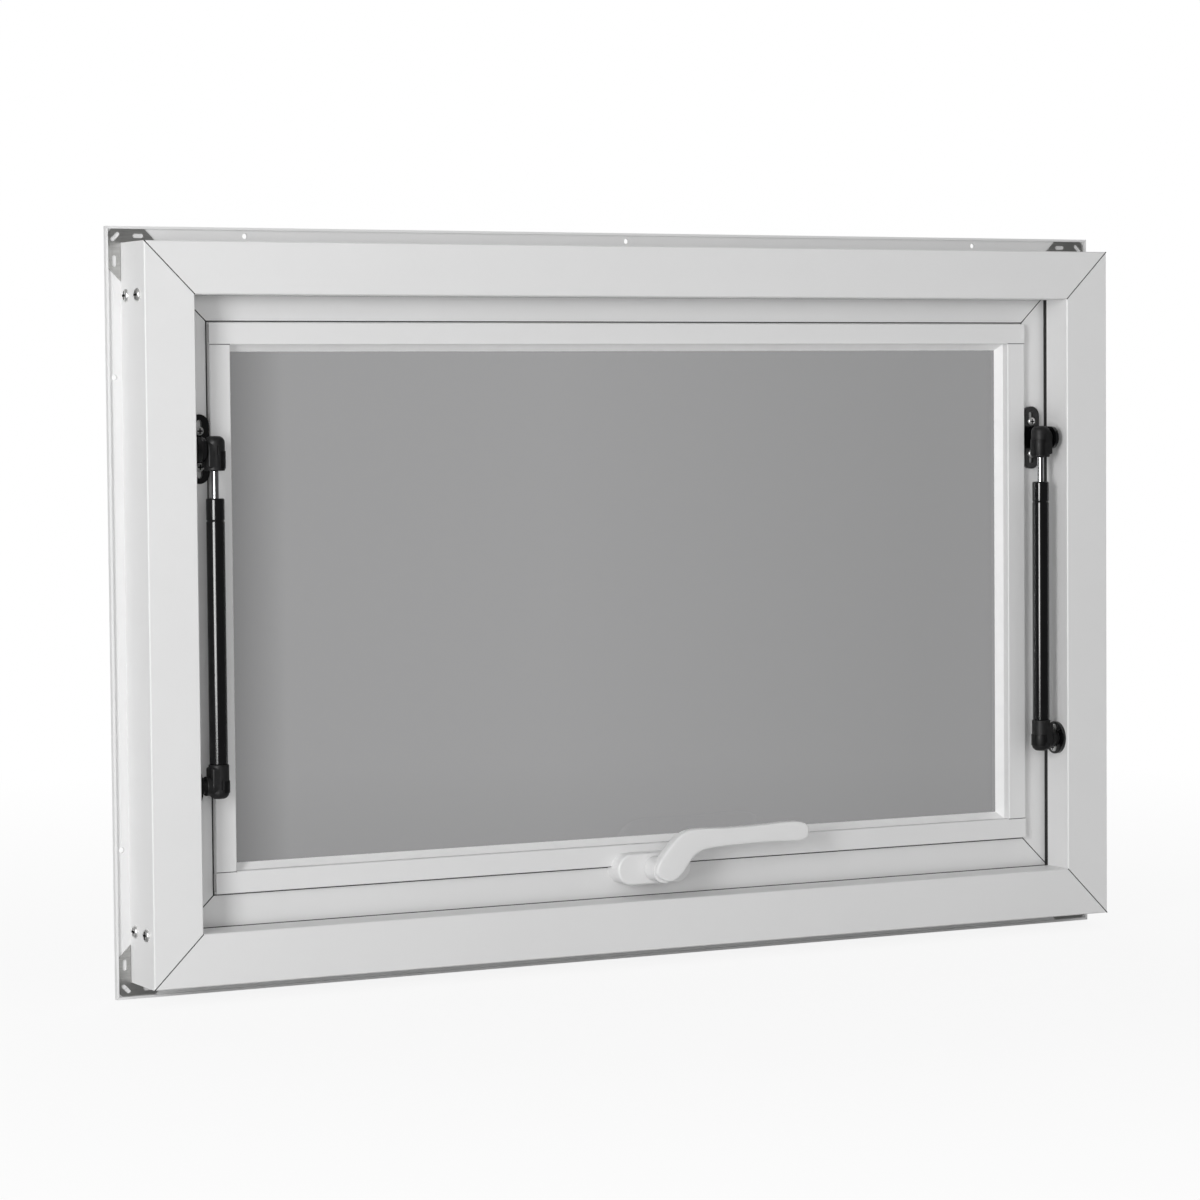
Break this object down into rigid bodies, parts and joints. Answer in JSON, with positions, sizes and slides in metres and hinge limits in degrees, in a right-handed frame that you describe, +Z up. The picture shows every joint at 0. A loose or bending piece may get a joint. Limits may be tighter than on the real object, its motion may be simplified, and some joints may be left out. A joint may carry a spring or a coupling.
{
  "type": "concession window",
  "caption": "White top-hung serving window for a food trailer: mitred flanged frame, tinted glazed sash on a continuous hinge, gas struts and a turning lever handle.",
  "frame": {"origin": "middle of the rim of the bottom flange, on the plane that bears on the wall's outer skin", "axes": "+X right seen from inside, +Y outward through the wall, +Z up"},
  "size_m": [0.9408, 0.0691, 0.6216],
  "materials": {
    "white_coat": "white powder coat",
    "handle_white": "white powder coat, satin",
    "bare_steel": "zinc plated",
    "black_steel": "gloss black",
    "black_plastic": "moulded black",
    "chrome_rod": "polished",
    "black_rubber": "matte",
    "white_gasket": "white, smooth",
    "grey_glass": "tinted, polished"
  },
  "bodies": {
    "frame": {"frame_top_rail": "white_coat", "frame_bottom_rail": "white_coat", "frame_left_jamb": "white_coat", "frame_right_jamb": "white_coat", "corner_plate_top_left": "bare_steel", "corner_plate_top_right": "bare_steel", "corner_plate_bottom_left": "bare_steel", "corner_plate_bottom_right": "bare_steel", "weather_seal": "black_rubber", "hinge_frame_leaf": "white_coat", "hinge_pin": "bare_steel", "left_jamb_plate": "black_steel", "right_jamb_plate": "black_steel"},
    "sash": {"sash_top_rail": "white_coat", "sash_bottom_rail": "white_coat", "sash_left_stile": "white_coat", "sash_right_stile": "white_coat", "bead_top": "white_coat", "bead_bottom": "white_coat", "bead_left": "white_coat", "bead_right": "white_coat", "gasket_top": "white_gasket", "gasket_bottom": "white_gasket", "gasket_left": "white_gasket", "gasket_right": "white_gasket", "glass_pane": "grey_glass", "outer_glass_seal": "black_rubber", "hinge_sash_leaf": "white_coat", "left_sash_bracket": "black_steel", "right_sash_bracket": "black_steel", "left_head_stud": "bare_steel", "right_head_stud": "bare_steel", "handle_base": "handle_white"},
    "handle": {"handle_lever": "handle_white"},
    "left_cylinder": {"left_strut_cylinder": "black_steel", "left_strut_foot": "black_plastic", "left_foot_stud": "bare_steel"},
    "left_rod": {"left_strut_rod": "chrome_rod", "left_strut_head": "black_plastic"},
    "right_cylinder": {"right_strut_cylinder": "black_steel", "right_strut_foot": "black_plastic", "right_foot_stud": "bare_steel"},
    "right_rod": {"right_strut_rod": "chrome_rod", "right_strut_head": "black_plastic"}
  },
  "joints": [
    {"name": "sash_hinge", "type": "hinge", "parent": "frame", "child": "sash", "pos_m": [0, 0.0095, 0.5798], "axis": [1, 0, 0], "range_deg": [0, 80]},
    {"name": "handle_turn", "type": "hinge", "parent": "sash", "child": "handle", "pos_m": [0.004, -0.04, 0.0793], "axis": [0, -1, 0], "range_deg": [0, 90]},
    {"name": "left_strut_swing", "type": "hinge", "parent": "sash", "child": "left_rod", "pos_m": [-0.395, -0.0378, 0.4418], "axis": [1, 0, 0], "range_deg": [-107.71, 0]},
    {"name": "left_strut_slide", "type": "slide", "parent": "left_rod", "child": "left_cylinder", "axis": [0, 0, -1], "range_m": [0, 0.11063]},
    {"name": "right_strut_swing", "type": "hinge", "parent": "sash", "child": "right_rod", "pos_m": [0.395, -0.0378, 0.4418], "axis": [1, 0, 0], "range_deg": [-107.71, 0]},
    {"name": "right_strut_slide", "type": "slide", "parent": "right_rod", "child": "right_cylinder", "axis": [0, 0, -1], "range_m": [0, 0.11063]}
  ],
  "couplings": [
    {"joint": "left_strut_swing", "follows": "sash_hinge", "ratio": -1.3426},
    {"joint": "left_strut_slide", "follows": "sash_hinge", "m_per_rad": 0.078874},
    {"joint": "right_strut_swing", "follows": "sash_hinge", "ratio": -1.3426},
    {"joint": "right_strut_slide", "follows": "sash_hinge", "m_per_rad": 0.078874}
  ]
}
